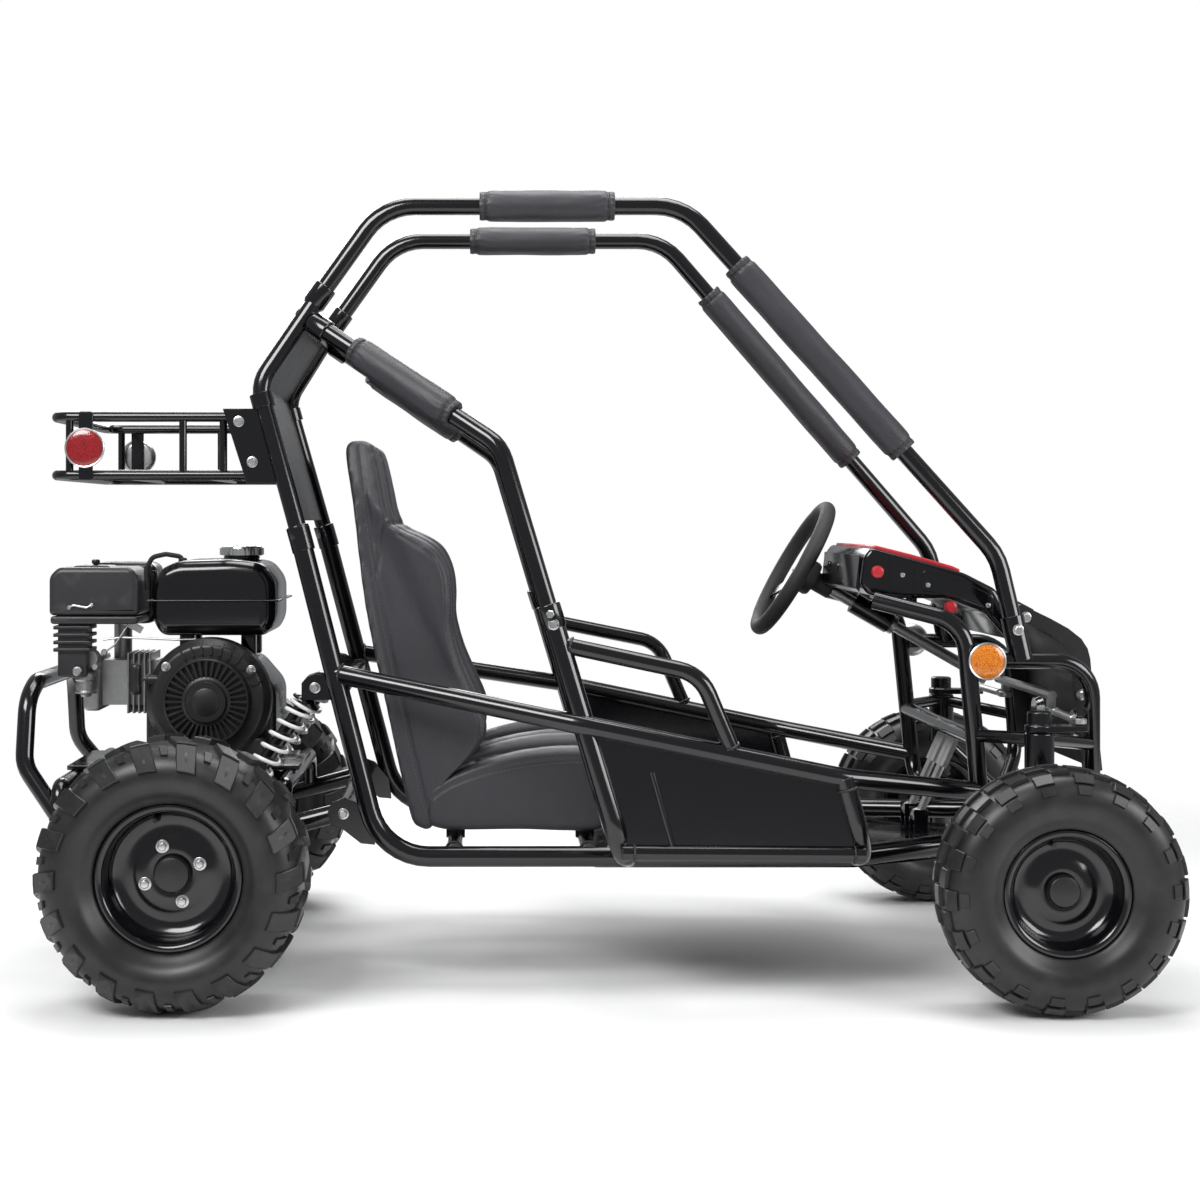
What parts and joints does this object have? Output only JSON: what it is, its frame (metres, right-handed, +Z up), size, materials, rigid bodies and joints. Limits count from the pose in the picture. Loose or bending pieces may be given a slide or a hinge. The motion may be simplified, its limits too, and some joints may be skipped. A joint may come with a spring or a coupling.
{
  "type": "off road go kart",
  "caption": "Two-seat off road go kart with a tube roll cage, knobby tyres, a sprung swingarm carrying a small engine, bucket seats and a rear rack.",
  "frame": {"origin": "on the ground, at the middle of the kart's length and width", "axes": "+X forward, +Y to the kart's left, +Z up"},
  "size_m": [1.7506, 1.061, 1.233],
  "materials": {
    "black_paint": "gloss",
    "vinyl": "satin",
    "tyre_rubber": "matte",
    "grip_rubber": "matte",
    "black_plastic": "satin",
    "engine_paint": "satin",
    "amber_lens": "gloss",
    "red_lens": "gloss",
    "white_spring": "gloss",
    "steel": "satin",
    "chrome": "polished"
  },
  "bodies": {
    "chassis": {"lower_frame": "black_paint", "rear_hoop": "black_paint", "front_frame": "black_paint", "dash_housing": "black_plastic", "nose_fairing": "black_plastic", "rear_rack": "black_paint", "roof_rail_right": "black_paint", "roof_rail_left": "black_paint", "shoulder_bar_right": "black_paint", "shoulder_bar_left": "black_paint", "roof_pad_right": "vinyl", "roof_pad_left": "vinyl", "pillar_pad_right": "vinyl", "pillar_pad_left": "vinyl", "shoulder_pad_right": "vinyl", "shoulder_pad_left": "vinyl", "side_frame_right": "black_paint", "side_frame_left": "black_paint", "seat_right": "vinyl", "seat_left": "vinyl", "tail_reflector_right": "red_lens", "tail_reflector_left": "red_lens", "side_reflector_right": "amber_lens", "side_reflector_left": "amber_lens"},
    "rear_swing": {"swingarm": "black_paint", "engine_block": "engine_paint", "recoil_cover": "black_plastic", "fuel_tank": "engine_paint", "air_cleaner": "black_plastic", "chain": "steel"},
    "rear_drive": {"rear_axle": "steel", "rear_rim_right": "black_paint", "rear_rim_left": "black_paint", "rear_tyre_right": "tyre_rubber", "rear_tyre_left": "tyre_rubber"},
    "clutch": {"clutch_drum": "steel"},
    "cap": {"fuel_cap": "chrome"},
    "grip": {"recoil_grip": "black_plastic"},
    "steering": {"steering_wheel": "grip_rubber", "steering_column": "steel"},
    "link": {"steering_link": "steel"},
    "throttle": {"throttle_pedal": "steel"},
    "brake": {"brake_pedal": "steel"},
    "switch": {"kill_switch": "red_lens"},
    "shock_right": {"shock_body_right": "black_paint", "shock_spring_right": "white_spring"},
    "shock_rod_right": {"shock_rod_right": "chrome"},
    "kingpin_right": {"kingpin_right": "black_paint"},
    "tie_rod_right": {"tie_rod_right": "steel"},
    "knuckle_right": {"knuckle_right": "black_paint"},
    "front_wheel_right": {"front_rim_right": "black_paint", "front_tyre_right": "tyre_rubber"},
    "shock_left": {"shock_body_left": "black_paint", "shock_spring_left": "white_spring"},
    "shock_rod_left": {"shock_rod_left": "chrome"},
    "kingpin_left": {"kingpin_left": "black_paint"},
    "tie_rod_left": {"tie_rod_left": "steel"},
    "knuckle_left": {"knuckle_left": "black_paint"},
    "front_wheel_left": {"front_rim_left": "black_paint", "front_tyre_left": "tyre_rubber"}
  },
  "joints": [
    {"name": "swingarm_pivot", "type": "hinge", "parent": "chassis", "child": "rear_swing", "pos_m": [-0.35694, 0, 0.26214], "axis": [0, 1, 0], "range_deg": [-5, 6], "stiffness_Nm_per_rad": 9000, "springref_deg": 1.15},
    {"name": "axle_spin", "type": "hinge", "parent": "rear_swing", "child": "rear_drive", "pos_m": [-0.5934, 0, 0.2], "axis": [0, 1, 0], "continuous": true},
    {"name": "clutch_spin", "type": "hinge", "parent": "rear_swing", "child": "clutch", "pos_m": [-0.5834, 0, 0.425], "axis": [0, 1, 0], "continuous": true},
    {"name": "fuel_cap_twist", "type": "hinge", "parent": "rear_swing", "child": "cap", "pos_m": [-0.5454, 0, 0.663], "axis": [0, 0, 1], "range_deg": [0, 90]},
    {"name": "recoil_pull", "type": "slide", "parent": "rear_swing", "child": "grip", "axis": [-0.7708, -0.4505, 0.4505], "range_m": [0, 0.5], "stiffness_N_per_m": 20, "springref_m": -0.3},
    {"name": "steering_turn", "type": "hinge", "parent": "chassis", "child": "steering", "pos_m": [0.40196, 0.19, 0.62997], "axis": [-0.8688, 0, 0.4952], "range_deg": [-42, 42]},
    {"name": "link_slide", "type": "slide", "parent": "chassis", "child": "link", "axis": [0, 1, 0], "range_m": [-0.0212, 0.0212]},
    {"name": "throttle_press", "type": "hinge", "parent": "chassis", "child": "throttle", "pos_m": [0.59985, 0.072, 0.21111], "axis": [0, 1, 0], "range_deg": [0, 25], "stiffness_Nm_per_rad": 3, "springref_deg": -11.46},
    {"name": "brake_press", "type": "hinge", "parent": "chassis", "child": "brake", "pos_m": [0.59985, 0.15, 0.21111], "axis": [0, 1, 0], "range_deg": [0, 25], "stiffness_Nm_per_rad": 3, "springref_deg": -11.46},
    {"name": "kill_switch_press", "type": "slide", "parent": "chassis", "child": "switch", "axis": [0, 1, 0], "range_m": [0, 0.003], "stiffness_N_per_m": 400, "springref_m": -0.002},
    {"name": "shock_swing_right", "type": "hinge", "parent": "chassis", "child": "shock_right", "pos_m": [-0.40196, -0.24, 0.45505], "axis": [0, 1, 0], "range_deg": [-2.3, 2.8]},
    {"name": "shock_stroke_right", "type": "slide", "parent": "shock_right", "child": "shock_rod_right", "axis": [0.5603, 0, 0.8283], "range_m": [-0.013, 0.0156], "deforming": ["shock_spring_right"]},
    {"name": "steer_right", "type": "hinge", "parent": "chassis", "child": "kingpin_right", "pos_m": [0.6966, -0.345, 0.35], "axis": [0, 0, 1], "range_deg": [-20, 20]},
    {"name": "tie_rod_turn_right", "type": "hinge", "parent": "kingpin_right", "child": "tie_rod_right", "pos_m": [0.7586, -0.3385, 0.4108], "axis": [0, 0, 1], "range_deg": [-20, 20]},
    {"name": "front_travel_right", "type": "slide", "parent": "kingpin_right", "child": "knuckle_right", "axis": [0, 0, 1], "range_m": [-0.01, 0.025], "stiffness_N_per_m": 20000, "springref_m": 0.006},
    {"name": "front_spin_right", "type": "hinge", "parent": "knuckle_right", "child": "front_wheel_right", "pos_m": [0.6966, -0.458, 0.1795], "axis": [0, 1, 0], "continuous": true},
    {"name": "shock_swing_left", "type": "hinge", "parent": "chassis", "child": "shock_left", "pos_m": [-0.40196, 0.24, 0.45505], "axis": [0, 1, 0], "range_deg": [-2.3, 2.8]},
    {"name": "shock_stroke_left", "type": "slide", "parent": "shock_left", "child": "shock_rod_left", "axis": [0.5603, 0, 0.8283], "range_m": [-0.013, 0.0156], "deforming": ["shock_spring_left"]},
    {"name": "steer_left", "type": "hinge", "parent": "chassis", "child": "kingpin_left", "pos_m": [0.6966, 0.345, 0.35], "axis": [0, 0, 1], "range_deg": [-20, 20]},
    {"name": "tie_rod_turn_left", "type": "hinge", "parent": "kingpin_left", "child": "tie_rod_left", "pos_m": [0.7586, 0.3385, 0.4108], "axis": [0, 0, 1], "range_deg": [-20, 20]},
    {"name": "front_travel_left", "type": "slide", "parent": "kingpin_left", "child": "knuckle_left", "axis": [0, 0, 1], "range_m": [-0.01, 0.025], "stiffness_N_per_m": 20000, "springref_m": 0.006},
    {"name": "front_spin_left", "type": "hinge", "parent": "knuckle_left", "child": "front_wheel_left", "pos_m": [0.6966, 0.458, 0.1795], "axis": [0, 1, 0], "continuous": true}
  ],
  "couplings": [
    {"joint": "clutch_spin", "follows": "axle_spin", "ratio": 3.6364},
    {"joint": "link_slide", "follows": "steering_turn", "m_per_rad": 0.0272},
    {"joint": "shock_swing_right", "follows": "swingarm_pivot", "ratio": 0.4455},
    {"joint": "shock_stroke_right", "follows": "swingarm_pivot", "m_per_rad": 0.1454},
    {"joint": "steer_right", "follows": "steering_turn", "ratio": 0.45},
    {"joint": "tie_rod_turn_right", "follows": "steering_turn", "ratio": -0.45},
    {"joint": "shock_swing_left", "follows": "swingarm_pivot", "ratio": 0.4455},
    {"joint": "shock_stroke_left", "follows": "swingarm_pivot", "m_per_rad": 0.1454},
    {"joint": "steer_left", "follows": "steering_turn", "ratio": 0.45},
    {"joint": "tie_rod_turn_left", "follows": "steering_turn", "ratio": -0.45}
  ]
}
